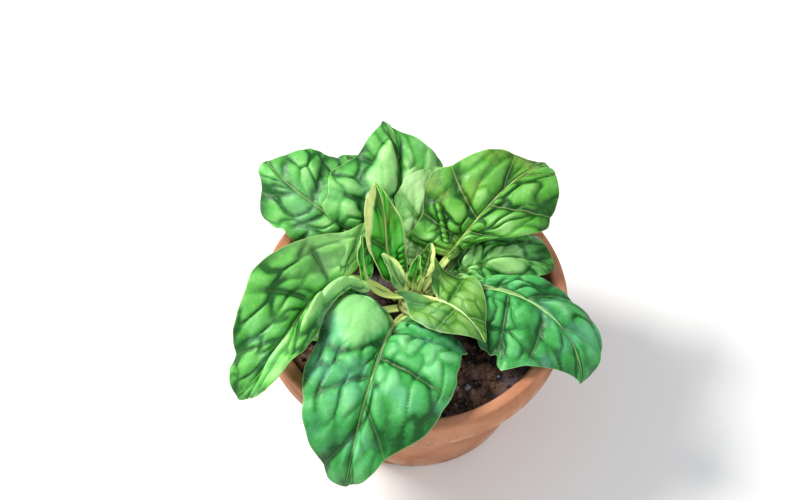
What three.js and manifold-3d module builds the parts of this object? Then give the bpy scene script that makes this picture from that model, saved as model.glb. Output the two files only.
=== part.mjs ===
// A spinach plant in a plain clay pot: the pot, the soil in it, the crown with its tap root,
// and each leaf as one piece, a stalk that widens into a puckered blade.
// Millimetres, +Z up, the origin at the centre of the pot's flat base.
import * as THREE from "three";
import { mergeVertices } from "three/addons/utils/BufferGeometryUtils.js";
import Module from "manifold-3d";

// The pot, a wide half pot with a rim band
const POT_HEIGHT = 130;
const RIM_RADIUS = 125;
const RIM_BAND = 27;
const RIM_STEP = 4;
const BASE_RADIUS = 88;
const WALL = 7;
const FLOOR = 10;
const EDGE = 2;
const POT_SIDES = 48;
const DRAIN_HOLES = 3;
const DRAIN_RADIUS = 7;
const DRAIN_RING = 48;
const DRAIN_SIDES = 12;

// The soil, and the gap that separate pieces keep
const GAP = 0.3;
const SOIL_TOP = 116;
const SOIL_RINGS = 8;
const SOIL_SIDES = 48;
const SOIL_LUMP = 1.6;
const SOIL_SETTLED = 2; // how far the soil sinks towards the wall
const SOIL_DIP = 2.5; // and towards the crown

// The crown carries the stalks in whorls: each has a radius, and a height above the soil
const ROOT_DEPTH = 70;
const ROOT_TIP_ROOM = 3;
const NECK_RADIUS = 8;
const WHORLS = [
  { radius: 14, height: 4 },
  { radius: 11.5, height: 8 },
  { radius: 8, height: 12 },
  { radius: 5, height: 15 },
];
const CROWN_TOP = 16.6;
const CROWN_SIDES = 24;
const SEAT = 1.05; // how far a stalk's cut end stands off the crown, along the radius
const LEDGE = 0.7; // how far the crown's step for a whorl rises above the stalks' middles

// Every blade
const BLADE = 0.9;
const KEEL = 2.4;
const KEEL_TAPER = 0.8;
const VEIN_SWEEP = 1.7; // how late the side veins leave the rib
const VEIN_BEND = 1.2;
const VEIN_CROWDING = 0.85; // under 1, they lie closer at the foot than at the tip
const VEIN_START = 0.37; // by how much of a space each leaf's veins start further on
const CELLS = 2.1; // the cells that a puff is dented into, from the rib to the margin
const CELL_DENT = 0.35;
const LOBE_REACH = 1.1;
const LOBE_ROUND = 0.35; // under 1, a lobe is blunt
const COLUMN_SPREAD = 1.3;
const ROW_SPREAD = 1.35; // over 1, rows lie closer at the foot, where lobes turn
const RIB_SAMPLES = 240;

// Rows along a blade and its stalk, and columns across each half, by the size of the leaf
const GRIDS = {
  large: { rows: 19, columns: 6, stalkRows: 3 },
  middle: { rows: 11, columns: 4, stalkRows: 3 },
  small: { rows: 7, columns: 3, stalkRows: 2 },
};

// What a leaf has unless its own entry says otherwise. Pairs are the left and the right half,
// as seen from the crown, except roundness and bank, which are at the blade's foot and its tip.
const PLAIN_LEAF = {
  grid: "large",
  whorl: 0,
  stalk: 3,
  sheath: 1.15,
  lobe: [14, 14],
  lobeRise: 0.012,
  lobeFall: 2,
  roundness: [0.6, 1],
  bank: [0, 0],
  cup: [8, 8],
  curl: [-25, -25],
  veins: 5,
  pucker: 6.5,
  wave: 3.6,
  waves: 2.5,
  scallop: 3.2,
  seed: 0,
  domes: [],
  colour: 0x5fae57,
};

// Each leaf: from is the stalk's bearing on the crown in degrees, and rib holds the blade's foot,
// middle and tip, measured from the crown at soil level. left and right are half widths at even
// stations from the foot to the tip. A dome is a large puff: its place along and across, its
// reach each way, and its height.
const LEAVES = {
  leaf_front: {
    from: 241, seed: 1, lobeRise: 0.03, cup: [8, 11],
    colour: 0x57ad74,
    rib: [[-15, -31, 20], [-35, -94, 32], [-54, -151, -28]],
    left: [44, 84, 68, 66, 56, 33, 21, 12], right: [116, 71, 61, 52, 50, 41, 36, 40], lobe: [28, 33],
    domes: [[0.27, 0.5, 0.17, 0.43, 10]],
  },
  leaf_left: {
    from: 165, seed: 2, lobeFall: 5, bank: [-32, 8], cup: [34, 18],
    rib: [[-56, 7, 28], [-97, -49, 44], [-139, -92, 8]],
    left: [40, 20, 17, 19, 24, 28, 17, 8], right: [94, 55, 51, 52, 42, 36, 34, 40], lobe: [40, 60],
    domes: [[0.3, -0.5, 0.26, 0.36, 8]],
  },
  leaf_back_left: {
    from: 138, whorl: 1, seed: 3, stalk: 2.7, roundness: [0.6, 0.8], cup: [-20, 8], curl: [-40, -25],
    rib: [[-45, 45, 30], [-92, 73, 52], [-122, 104, 57]],
    left: [14, 19, 29, 33, 34, 36, 20, 22], right: [46, 50, 54, 55, 51, 49, 42, 14], lobe: [6, 14],
  },
  leaf_back: {
    from: 105, whorl: 1, seed: 4, stalk: 2.7, roundness: [0.6, 1.5], cup: [16, -8],
    rib: [[-12, 40, 27], [-12, 91, 52], [-26, 139, 66]],
    left: [24, 38, 66, 62, 56, 40, 34, 18], right: [34, 37, 42, 43, 45, 29, 14, 12], lobe: [6, 14],
    domes: [[0.68, -0.32, 0.16, 0.29, 6]],
  },
  leaf_back_pale: {
    from: 82, whorl: 2, seed: 5, pucker: 2.5, stalk: 2.4, grid: "middle", cup: [24, -8], lobe: [6, 3],
    colour: 0x9cc47c,
    rib: [[2, 28, 19], [14, 61, 46], [27, 94, 60]],
    left: [12, 14, 18, 24, 33, 32, 30, 34], right: [10, 13, 18, 19, 19, 17, 15, 12],
  },
  leaf_back_right: {
    from: 57, whorl: 1, seed: 6, stalk: 2.8, roundness: [0.6, 0.75], cup: [26, 5],
    colour: 0x6fb04a,
    rib: [[29, 28, 32], [65, 60, 64], [109, 102, 56]],
    left: [88, 50, 47, 53, 40, 27, 9, 5], right: [6, 8, 14, 36, 47, 42, 30, 22], lobe: [22, 8],
  },
  leaf_right: {
    from: 22, whorl: 1, seed: 7, curl: [-10, -45],
    rib: [[31, 15, 16], [70, 24, 26], [114, 21, 23]],
    left: [9, 16, 24, 32, 32, 33, 26, 14], right: [4, 8, 12, 20, 22, 22, 16, 8], lobe: [4, 6],
    domes: [[0.5, -0.4, 0.12, 0.35, 4], [0.7, 0.4, 0.14, 0.4, 4]],
  },
  leaf_front_right: {
    from: 3, seed: 8, cup: [8, -4],
    rib: [[45, 0, 25], [104, -28, 34], [132, -77, 5]],
    left: [6, 9, 15, 23, 28, 31, 35, 22], right: [44, 49, 54, 54, 59, 48, 21, 12],
  },
  leaf_upright: {
    from: 130, whorl: 2, seed: 9, stalk: 2.2, grid: "middle", cup: [35, 30],
    veins: 3, pucker: 3, wave: 1, scallop: 0.6, lobe: [3, 3],
    colour: 0x4a9a42,
    rib: [[-15, 14, 20], [-23, 40, 50], [-32, 67, 78]],
    left: [14, 19, 17, 20, 21, 23, 22, 13], right: [25, 20, 17, 15, 14, 9, 6, 5],
  },
  leaf_young_left: {
    from: 172, whorl: 2, seed: 11, stalk: 2, grid: "small", cup: [30, 30],
    veins: 2, pucker: 1.2, wave: 1, scallop: 0.4, lobe: [2, 2],
    colour: 0x8cbf66,
    rib: [[-38, 8, 27], [-41, 19, 41], [-42, 31, 55]],
    left: [7, 8, 8, 7, 5], right: [7, 8, 8, 7, 5],
  },
  leaf_young_front: {
    from: 345, whorl: 3, seed: 10, lobeRise: 0.045, stalk: 1.9, grid: "middle",
    veins: 3, pucker: 2.5, wave: 1.5, scallop: 1, lobe: [36, 38],
    colour: 0xa3c654,
    rib: [[19, -12, 26], [34, -26, 35], [56, -53, 28]],
    left: [66, 38, 33, 33, 24, 15, 8, 5], right: [50, 28, 30, 28, 27, 19, 9, 5],
  },
  leaf_rear_low: {
    from: 84, seed: 12, grid: "middle", cup: [12, 12],
    rib: [[6, 45, 7], [8, 92, 13], [10, 138, 21]],
    left: [12, 18, 26, 28, 24], right: [12, 18, 26, 28, 24],
  },
  leaf_rear_left: {
    from: 125, seed: 13, grid: "middle", cup: [12, 12],
    rib: [[-22, 43, 8], [-42, 88, 21], [-55, 133, 27]],
    left: [18, 26, 30, 30, 26], right: [12, 21, 28, 30, 26],
  },
  leaf_rear_right: {
    from: 46, seed: 14, grid: "middle", cup: [12, 12],
    rib: [[34, 34, 9], [70, 70, 17], [100, 98, 21]],
    left: [18, 24, 28, 28, 24], right: [18, 24, 28, 28, 24],
  },
  leaf_side_left: {
    from: 203, seed: 15, grid: "middle", cup: [10, 10],
    rib: [[-40, -12, 6], [-66, -20, 7], [-93, -30, 8]],
    left: [12, 18, 20, 20, 16], right: [12, 18, 20, 20, 16],
  },
  leaf_bud_left: {
    from: 180, whorl: 3, seed: 16, stalk: 1.5, grid: "small", cup: [50, 50], curl: [0, 0],
    veins: 2, pucker: 0.8, wave: 0.6, scallop: 0.3, lobe: [1, 1],
    colour: 0xb4cf7c,
    rib: [[-10, 3, 20], [-17, 11, 32], [-26, 21, 44]],
    left: [11, 15, 15, 10, 5], right: [7, 9, 9, 7, 5],
  },
  leaf_bud_middle: {
    from: 94, whorl: 3, seed: 17, stalk: 1.5, grid: "small", cup: [50, 50], curl: [0, 0],
    veins: 2, pucker: 0.8, wave: 0.6, scallop: 0.3, lobe: [1, 1],
    colour: 0x8dbb5e,
    rib: [[0, 9, 21], [2, 13, 33], [4, 18, 46]],
    left: [7, 8, 8, 7, 6], right: [7, 8, 8, 7, 6],
  },
  leaf_bud_right: {
    from: 48, whorl: 3, seed: 18, stalk: 1.5, grid: "small", cup: [40, 40], curl: [0, 0],
    veins: 3, pucker: 1.2, wave: 0.8, scallop: 0.4, lobe: [2, 2],
    colour: 0x9dc36a,
    rib: [[8, 14, 22], [12, 22, 34], [14, 30, 46]],
    left: [6, 8, 9, 8, 6], right: [6, 8, 9, 8, 6],
  },
};

const lerp = (a, b, t) => a + (b - a) * t;
const clamp = (x, low, high) => Math.min(high, Math.max(low, x));
const radians = THREE.MathUtils.degToRad;
const bulge = (t) => Math.max(0, Math.sin(Math.PI * t)); // 0 at both ends, 1 in the middle

// The one cubic through four points, at times set by the straight distances between them.
class Rib extends THREE.Curve {
  constructor(points) {
    super();
    this.points = points;
    this.times = [0];
    for (let i = 1; i < points.length; i++) {
      this.times.push(this.times[i - 1] + points[i].distanceTo(points[i - 1]));
    }
    this.times = this.times.map((time) => time / this.times[points.length - 1]);
    this.arcLengthDivisions = RIB_SAMPLES;
  }

  getPoint(t, target = new THREE.Vector3()) {
    target.set(0, 0, 0);
    this.points.forEach((point, i) => {
      let share = 1;
      this.times.forEach((time, j) => {
        if (j !== i) share *= (t - time) / (this.times[i] - time);
      });
      target.addScaledVector(point, share);
    });
    return target;
  }
}

// Half widths at even stations, joined by a Catmull-Rom curve.
function spread(stations, tau) {
  const last = stations.length - 1;
  const x = clamp(tau * stations.length - 0.5, 0, last);
  const i = Math.min(Math.floor(x), last - 1);
  const f = x - i;
  const [a, b, c, d] = [i - 1, i, i + 1, i + 2].map((k) => stations[clamp(k, 0, last)]);
  return b + 0.5 * f * (c - a + f * (2 * a - 5 * b + 4 * c - d + f * (3 * (b - c) + d - a)));
}

// A point's place among the side veins: a vein at each whole number, and a puff between two.
// The right half's veins leave the rib between the left half's.
function veinCount(leaf, tau, half) {
  return leaf.veins * tau ** VEIN_CROWDING + half / 2 + VEIN_START * leaf.seed;
}

// A number from 0 to 1 for each puff of each leaf, the same on every run.
function chanceOf(leaf, half, puff) {
  return 0.5 + 0.5 * Math.sin(12.9898 * puff + 4.6 * half + 4.1 * leaf.seed + 3.1);
}

// How far the blade stands off its own smooth surface: puffs between the side veins, each
// dented into cells, a ruffled margin, and the leaf's large domes.
function relief(leaf, tau, v, side) {
  const half = side < 0 ? 0 : 1;
  const count = veinCount(leaf, tau, half);
  const chance = chanceOf(leaf, half, Math.floor(count));
  const fade = bulge(tau ** 0.8) ** 0.5;
  const puff = bulge(count - Math.floor(count)) ** 0.6 * bulge(v ** 0.62) ** 0.7;
  const dent = CELL_DENT * (0.5 + 0.5 * Math.cos(2 * Math.PI * (CELLS * v + chance)));
  const turn = leaf.waves * tau + 0.8 * veinCount(leaf, 0, half);
  let height = leaf.pucker * fade * puff * (0.55 + 0.65 * chance) * (1 - dent);
  height += leaf.wave * fade * v ** 2.2 * Math.sin(2 * Math.PI * turn);
  for (const [place, reach, long, wide, rise] of leaf.domes) {
    const away = ((tau - place) / long) ** 2 + ((v * side - reach) / wide) ** 2;
    height += rise * Math.exp(-(away ** 3));
  }
  return height;
}

// The blade's flat outline: how far along the rib, and how far out from it, a point of the leaf
// lies. tau runs from the foot to the tip, and v from the rib to the margin.
function flatBlade(leaf, length, tau, v, side) {
  const half = side < 0 ? 0 : 1;
  const bow = bulge(tau);
  const tooth = Math.abs(Math.sin(Math.PI * veinCount(leaf, tau, half))) - 0.6;
  let out = spread(half ? leaf.right : leaf.left, tau) * bow ** lerp(...leaf.roundness, tau);
  out += leaf.scallop * tooth * bow ** 0.5;
  out = Math.max(out, leaf.stalk * lerp(1, 0.25, tau));
  const lobe = LOBE_REACH * leaf.lobe[half] * bow ** LOBE_ROUND * (1 - tau) ** leaf.lobeFall;
  const edge = (length * (1 - Math.cos(Math.PI * tau))) / 2 - lobe;
  const rib = length * tau ** VEIN_SWEEP;
  return { along: lerp(rib, edge, v ** VEIN_BEND), out: out * v };
}

// One closed solid for a leaf: a grid of points from the stalk's cut end to the tip and from the
// left margin to the right, given a top and an underside, with a keel below the rib.
function leafGeometry(leaf) {
  const whorl = WHORLS[leaf.whorl];
  const bearing = radians(leaf.from);
  const root = new THREE.Vector3(
    whorl.radius * Math.cos(bearing),
    whorl.radius * Math.sin(bearing),
    whorl.height,
  );
  const rib = new Rib([root, ...leaf.rib.map((point) => new THREE.Vector3(...point))]);
  const total = rib.getLength();
  const foot = rib.getLengths()[Math.round(rib.times[1] * RIB_SAMPLES)];
  const length = total - foot;
  const chord = leaf.rib[2].map((value, i) => value - root.getComponent(i));
  const level = new THREE.Vector3(...chord).cross(new THREE.Vector3(0, 0, 1)).normalize();
  const { rows, columns, stalkRows } = GRIDS[leaf.grid];
  const tops = [];
  const bottoms = [];

  // The rib's place and directions. Behind the foot, a lobe leaves the stalk and rises from it.
  function frameAt(along, onStalk) {
    const behind = onStalk ? 0 : Math.max(0, -along);
    const reach = along + behind + foot;
    const tangent = rib.getTangentAt(clamp(reach / total, 0, 1));
    const across = level.clone().addScaledVector(tangent, -tangent.dot(level)).normalize();
    const normal = across.clone().cross(tangent);
    const point = rib.getPointAt(clamp(reach / total, 0, 1));
    point.addScaledVector(tangent, Math.max(0, reach - total) - behind);
    point.addScaledVector(normal, leaf.lobeRise * behind ** 2);
    const started = clamp(1 + along / (0.6 * foot), 0, 1);
    const bank = radians(lerp(...leaf.bank, clamp(along / length, 0, 1))) * (onStalk ? started : 1);
    const right = across.clone().multiplyScalar(Math.cos(bank));
    right.addScaledVector(normal, -Math.sin(bank));
    const up = across.clone().multiplyScalar(Math.sin(bank));
    up.addScaledVector(normal, Math.cos(bank));
    return { point, right, up };
  }

  function addPoint({ along, out, side, height = 0, keelShare, onStalk = false }) {
    const half = side < 0 ? 0 : 1;
    const { point, right, up } = frameAt(along, onStalk);
    const widest = Math.max(...(half ? leaf.right : leaf.left));
    const cupped = leaf.cup[half] * clamp(out / (2 * leaf.stalk), 0, 1);
    const angle = radians(cupped + (leaf.curl[half] * out) / widest / 2);
    const outward = right.clone().multiplyScalar(side * Math.cos(angle));
    outward.addScaledVector(up, Math.sin(angle));
    const normal = right.clone().multiplyScalar(-side * Math.sin(angle));
    normal.addScaledVector(up, Math.cos(angle));
    const middle = point.clone().addScaledVector(outward, out).addScaledVector(normal, height);
    const keel = (KEEL * keelShare * leaf.stalk / 3) * Math.exp(-((out / (leaf.stalk * 1.1)) ** 2));
    tops.push(middle.clone().addScaledVector(normal, BLADE / 2));
    bottoms.push(middle.clone().addScaledVector(normal, -BLADE / 2 - keel));
  }

  for (let row = 0; row < stalkRows + rows; row++) {
    const onStalk = row < stalkRows;
    const share = onStalk ? row / stalkRows : ((row - stalkRows) / (rows - 1)) ** ROW_SPREAD;
    for (let column = -columns; column <= columns; column++) {
      const side = column < 0 ? -1 : 1;
      const v = Math.abs(column / columns) ** COLUMN_SPREAD;
      if (onStalk) {
        const out = leaf.stalk * lerp(leaf.sheath, 1, share ** 0.5) * v;
        addPoint({ along: -foot * (1 - share), out, side, keelShare: 1, onStalk });
      } else {
        const flat = flatBlade(leaf, length, share, v, side);
        const height = relief(leaf, share, v, side);
        addPoint({ ...flat, side, height, keelShare: 1 - KEEL_TAPER * share });
      }
    }
  }
  return closedSheet(tops, bottoms, stalkRows + rows, 2 * columns + 1);
}

// Joins two like grids of points, a top and an underside, into one closed surface. Both are
// split along the same diagonals, so they never cross.
function closedSheet(tops, bottoms, rows, columns) {
  const positions = [];
  const triangle = (a, b, c) => positions.push(...a.toArray(), ...b.toArray(), ...c.toArray());
  const at = (grid, row, column) => grid[row * columns + column];
  for (let row = 0; row + 1 < rows; row++) {
    for (let column = 0; column + 1 < columns; column++) {
      const corners = [[row, column], [row, column + 1], [row + 1, column + 1], [row + 1, column]];
      const [a, b, c, d] = corners.map(([r, k]) => at(tops, r, k));
      const [e, f, g, h] = corners.map(([r, k]) => at(bottoms, r, k));
      if (column * 2 < columns - 1) {
        triangle(a, b, d);
        triangle(b, c, d);
        triangle(e, h, f);
        triangle(f, h, g);
      } else {
        triangle(a, b, c);
        triangle(a, c, d);
        triangle(e, g, f);
        triangle(e, h, g);
      }
    }
  }
  const rim = [];
  for (let column = 0; column < columns; column++) rim.push([0, column]);
  for (let row = 1; row < rows; row++) rim.push([row, columns - 1]);
  for (let column = columns - 2; column >= 0; column--) rim.push([rows - 1, column]);
  for (let row = rows - 2; row > 0; row--) rim.push([row, 0]);
  rim.forEach(([row, column], i) => {
    const [nextRow, nextColumn] = rim[(i + 1) % rim.length];
    const [a, b] = [at(tops, row, column), at(tops, nextRow, nextColumn)];
    const [c, d] = [at(bottoms, row, column), at(bottoms, nextRow, nextColumn)];
    triangle(a, c, b);
    triangle(b, c, d);
  });
  const geometry = new THREE.BufferGeometry();
  geometry.setAttribute("position", new THREE.Float32BufferAttribute(positions, 3));
  geometry.computeVertexNormals();
  return geometry;
}

// A profile of [radius, height] pairs turned about the Z axis.
function turned(profile, sides) {
  const points = profile.map(([radius, height]) => new THREE.Vector2(radius, height));
  return new THREE.LatheGeometry(points, sides).rotateX(Math.PI / 2);
}

const wasm = await Module();
wasm.setup();

function solid(geometry) {
  const bare = new THREE.BufferGeometry();
  bare.setAttribute("position", geometry.toNonIndexed().getAttribute("position"));
  const merged = mergeVertices(bare, 1e-3);
  return new wasm.Manifold(new wasm.Mesh({
    numProp: 3,
    vertProperties: merged.getAttribute("position").array,
    triVerts: new Uint32Array(merged.index.array),
  }));
}

function geometryOf(body) {
  const { vertProperties, triVerts } = body.getMesh();
  const geometry = new THREE.BufferGeometry();
  geometry.setAttribute("position", new THREE.Float32BufferAttribute(vertProperties, 3));
  geometry.setIndex([...triVerts]);
  geometry.computeVertexNormals();
  return geometry;
}

// The pot's outer and inner walls lean out evenly from the base to the rim.
const bodyRadius = (height) =>
  lerp(BASE_RADIUS, RIM_RADIUS - RIM_STEP, height / POT_HEIGHT);
const innerRadius = (height) => bodyRadius(height) - WALL;

function potGeometry() {
  const band = POT_HEIGHT - RIM_BAND;
  const body = solid(turned([
    [0, 0],
    [BASE_RADIUS - EDGE, 0],
    [bodyRadius(EDGE), EDGE],
    [bodyRadius(band), band],
    [RIM_RADIUS - EDGE / 2, band],
    [RIM_RADIUS, band + EDGE],
    [RIM_RADIUS, POT_HEIGHT - EDGE],
    [RIM_RADIUS - EDGE, POT_HEIGHT],
    [innerRadius(POT_HEIGHT) + EDGE, POT_HEIGHT],
    [innerRadius(POT_HEIGHT - EDGE), POT_HEIGHT - EDGE],
    [innerRadius(FLOOR), FLOOR],
    [0, FLOOR],
  ], POT_SIDES));
  let pot = body;
  for (let hole = 0; hole < DRAIN_HOLES; hole++) {
    const angle = Math.PI / 2 + (hole * 2 * Math.PI) / DRAIN_HOLES;
    const drill = new THREE.CylinderGeometry(DRAIN_RADIUS, DRAIN_RADIUS, 3 * FLOOR, DRAIN_SIDES);
    drill.rotateX(Math.PI / 2);
    drill.translate(DRAIN_RING * Math.cos(angle), DRAIN_RING * Math.sin(angle), FLOOR / 2);
    pot = pot.subtract(solid(drill));
  }
  return geometryOf(pot);
}

// Lumps in the soil's surface, the same all round a full turn.
function soilLump(radius, angle) {
  const first = Math.sin(0.11 * radius + 5 * angle + 0.6) * Math.cos(0.07 * radius - 3 * angle);
  const second = Math.sin(0.23 * radius - 8 * angle + 1.9);
  return SOIL_LUMP * (first + 0.6 * second);
}

function soilGeometry() {
  const bottom = FLOOR + GAP;
  const wallRadius = innerRadius(SOIL_TOP - SOIL_SETTLED) - GAP;
  const hole = NECK_RADIUS + GAP;
  const profile = [[0, bottom], [innerRadius(bottom) - GAP, bottom]];
  for (let ring = 0; ring <= SOIL_RINGS; ring++) {
    profile.push([lerp(wallRadius, hole, ring / SOIL_RINGS), SOIL_TOP]);
  }
  profile.push([0, SOIL_TOP - ROOT_DEPTH - ROOT_TIP_ROOM]);
  const geometry = turned(profile, SOIL_SIDES);
  const positions = geometry.getAttribute("position");
  for (let i = 0; i < positions.count; i++) {
    if (positions.getZ(i) < SOIL_TOP - 1) continue;
    const [x, y] = [positions.getX(i), positions.getY(i)];
    const out = clamp((Math.hypot(x, y) - hole) / (wallRadius - hole), 0, 1);
    const rough = soilLump(Math.hypot(x, y), Math.atan2(y, x)) * Math.sin(Math.PI * out);
    positions.setZ(i, SOIL_TOP + rough - SOIL_DIP * (1 - out) ** 6 - SOIL_SETTLED * out ** 3);
  }
  return geometry;
}

// The crown steps in at each whorl, so that the keels above it clear the step below.
function crownGeometry() {
  const steps = WHORLS.flatMap(({ radius, height }, i) => [
    [radius - SEAT, i ? WHORLS[i - 1].height + LEDGE : WHORLS[0].height - KEEL - 1],
    [radius - SEAT, height + LEDGE],
  ]);
  return turned([
    [0, -ROOT_DEPTH],
    [NECK_RADIUS, 0],
    ...steps,
    [0, CROWN_TOP],
  ], CROWN_SIDES).translate(0, 0, SOIL_TOP);
}

const clay = new THREE.MeshStandardMaterial({ color: 0xb9764f, roughness: 0.9, metalness: 0 });
const earth = new THREE.MeshStandardMaterial({ color: 0x46322a, roughness: 1, metalness: 0 });
const rootSkin = new THREE.MeshStandardMaterial({ color: 0xcfc9a0, roughness: 0.7, metalness: 0 });

function piece(name, geometry, material) {
  const mesh = new THREE.Mesh(geometry, material);
  mesh.name = name;
  return mesh;
}

const plant = new THREE.Group();
plant.name = "potted_spinach";
plant.add(piece("pot", potGeometry(), clay));
plant.add(piece("soil", soilGeometry(), earth));
plant.add(piece("crown_and_tap_root", crownGeometry(), rootSkin));

const leaves = new THREE.Group();
leaves.position.z = SOIL_TOP;
for (const [name, own] of Object.entries(LEAVES)) {
  const leaf = { ...PLAIN_LEAF, ...own };
  const green = new THREE.MeshStandardMaterial({
    color: leaf.colour,
    roughness: 0.5,
    metalness: 0,
  });
  leaves.add(piece(name, leafGeometry(leaf), green));
}
plant.add(leaves);

export default plant;
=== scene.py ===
# %% [markdown]
# # A potted spinach plant
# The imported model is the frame: a clay half pot, the soil in it, a crown with its tap root, and
# eighteen leaves, each a plain faceted solid. This script dresses them.
# Every leaf, the soil, the pot and the crown get a finer piece worked out with numpy, from the
# formulas and the sizes of the solids, so each lies where its solid lies.
# Colours and fine grain come from node materials that read the surface's own maps.

# %% Load the frame
import itertools
import math

import bmesh
import bpy
import numpy as np
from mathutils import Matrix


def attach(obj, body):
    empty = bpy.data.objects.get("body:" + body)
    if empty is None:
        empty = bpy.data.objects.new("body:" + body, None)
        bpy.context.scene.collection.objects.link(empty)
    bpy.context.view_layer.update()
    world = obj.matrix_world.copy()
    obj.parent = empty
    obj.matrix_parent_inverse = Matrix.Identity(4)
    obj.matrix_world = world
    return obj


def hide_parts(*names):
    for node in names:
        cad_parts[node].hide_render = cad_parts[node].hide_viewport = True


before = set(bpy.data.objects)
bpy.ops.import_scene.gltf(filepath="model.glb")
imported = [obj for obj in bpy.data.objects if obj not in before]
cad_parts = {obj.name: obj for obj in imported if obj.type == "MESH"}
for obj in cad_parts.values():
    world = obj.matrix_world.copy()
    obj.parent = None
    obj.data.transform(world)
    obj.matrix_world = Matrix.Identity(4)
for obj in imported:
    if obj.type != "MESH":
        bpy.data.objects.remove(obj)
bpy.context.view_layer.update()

# %% [markdown]
# ## Camera
# The painting looks down on the plant by about 56 degrees: the leaves that lean towards the
# viewer are as long as the ones behind, and the soil shows as a flat ellipse. A long lens keeps
# the far leaves as large as the near ones, as the painting does. The aim is set so that the
# crown falls on the same place in the frame.

# %% Set the camera
MM = 0.001
SOIL_TOP = 116.0
AIM = np.array([-11.4, 34.5, SOIL_TOP + 29.3]) * MM
LOOK_DOWN = math.radians(56)
DISTANCE, LENS = 1.54, 85
scene = bpy.context.scene


def new_object(name, data):
    """A camera, a light or a mesh as an object in the scene."""
    thing = bpy.data.objects.new(name, data)
    scene.collection.objects.link(thing)
    return thing


towards = np.array([0, math.cos(LOOK_DOWN), -math.sin(LOOK_DOWN)])
camera = new_object("camera", bpy.data.cameras.new("camera"))
camera.data.lens = LENS
camera.location = AIM - DISTANCE * towards
camera.rotation_euler = (math.pi / 2 - LOOK_DOWN, 0, 0)
scene.camera = camera
print("camera at", [round(value, 3) for value in camera.location])

# %% [markdown]
# ## Meshes and nodes
# Each piece is a grid of points, worked out as whole arrays, and foreach_set puts it into a mesh
# in one go. Small functions keep the materials short: each adds a node to a material's tree,
# or to the tree of the output it is given, and hands on the node's output.


# %% Helpers for meshes
def mesh_object(name, points, faces, material=None):
    """A smooth-shaded object from points in metres, and one or more arrays of faces, each with
    a row of point numbers for every face."""
    faces = faces if isinstance(faces, list) else [faces]
    corners = np.concatenate([group.ravel() for group in faces]).astype(np.int32)
    counts = np.concatenate([np.full(len(group), group.shape[1]) for group in faces])
    mesh = bpy.data.meshes.new(name)
    mesh.vertices.add(len(points))
    mesh.vertices.foreach_set("co", np.asarray(points, dtype=np.float32).ravel())
    mesh.loops.add(corners.size)
    mesh.loops.foreach_set("vertex_index", corners)
    mesh.polygons.add(counts.size)
    mesh.polygons.foreach_set("loop_start", (np.cumsum(counts) - counts).astype(np.int32))
    mesh.update(calc_edges=True)
    mesh.validate()
    mesh.shade_smooth()
    if material:
        mesh.materials.append(material)
    return new_object(name, mesh)


def add_values(piece, name, values):
    """A number for each point, which a material reads as an attribute of that name."""
    attribute = piece.data.attributes.new(name, "FLOAT", "POINT")
    attribute.data.foreach_set("value", np.asarray(values, dtype=np.float32).ravel())


def grid_quads(rows, columns):
    """The four corners of every square of a grid that is numbered row by row."""
    number = np.arange(rows * columns).reshape(rows, columns)
    corners = [number[:-1, :-1], number[:-1, 1:], number[1:, 1:], number[1:, :-1]]
    return np.stack(corners, axis=-1).reshape(-1, 4)


# %% Helpers for materials
def new_material(name, roughness, **sockets):
    """A material with one Principled shader, and that shader's fixed sockets."""
    material = bpy.data.materials.new(name)
    material.use_nodes = True
    shader = material.node_tree.nodes["Principled BSDF"]
    shader.inputs["Roughness"].default_value = roughness
    for socket, value in sockets.items():
        shader.inputs[socket.replace("_", " ")].default_value = value
    return material, material.node_tree, shader


def add_node(tree, kind, sockets=None, **settings):
    """A node of that kind. A socket takes a number, a colour as its red, green and blue, or
    another node's output."""
    node = tree.nodes.new("ShaderNode" + kind)
    for setting, value in settings.items():
        setattr(node, setting, value)
    for socket, value in (sockets or {}).items():
        if isinstance(value, bpy.types.NodeSocket):
            tree.links.new(value, node.inputs[socket])
        else:
            node.inputs[socket].default_value = (*value, 1) if isinstance(value, tuple) else value
    return node


def reckon(operation, a, b=0.0, c=0.0, clamp=False):
    """One step of arithmetic on an output and up to two more outputs or numbers."""
    settings = {"operation": operation, "use_clamp": clamp}
    return add_node(a.id_data, "Math", {0: a, 1: b, 2: c}, **settings).outputs[0]


def band(value, low, high, first=0.0, last=1.0):
    """A smooth step from first to last as an output goes from low to high."""
    sockets = {0: value, 1: low, 2: high, 3: first, 4: last}
    step = add_node(value.id_data, "MapRange", sockets, interpolation_type="SMOOTHSTEP")
    return step.outputs[0]


def painted(colour, *coats):
    """The colour with coats laid over it in turn, each an output from 0 to 1 and a colour."""
    for share, coat in coats:
        mixed = add_node(share.id_data, "Mix", {0: share, 6: colour, 7: coat}, data_type="RGBA")
        colour = mixed.outputs[2]
    return colour


def grain(tree, scale, detail=3.0, roughness=0.5):
    """Noise on the piece's own coordinates, from 0 to 1, with so many waves a metre."""
    place = add_node(tree, "TexCoord").outputs["Object"]
    sockets = {"Vector": place, "Scale": scale, "Detail": detail, "Roughness": roughness}
    return add_node(tree, "TexNoise", sockets).outputs[0]


def attribute(tree, name):
    """The number that add_values stored under that name."""
    return add_node(tree, "Attribute", attribute_name=name).outputs["Fac"]


def parts_of(vector):
    """The three numbers of a vector, as outputs."""
    return add_node(vector.id_data, "SeparateXYZ", {0: vector}).outputs


def dress(tree, shader, colour, height, distance, strength):
    """Links a colour to the shader, and small relief from a height in units of the distance."""
    tree.links.new(colour, shader.inputs["Base Color"])
    bump = add_node(tree, "Bump", {"Height": height, "Distance": distance, "Strength": strength})
    tree.links.new(bump.outputs[0], shader.inputs["Normal"])


print("helpers ready")

# %% [markdown]
# ## Floor and light
# The painting stands on white paper with hardly a shadow. A pale floor, a soft wide light from
# the upper left and a weaker one from the front right give the same even light, and still let
# each puff of the leaves turn from bright to dark.

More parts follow.
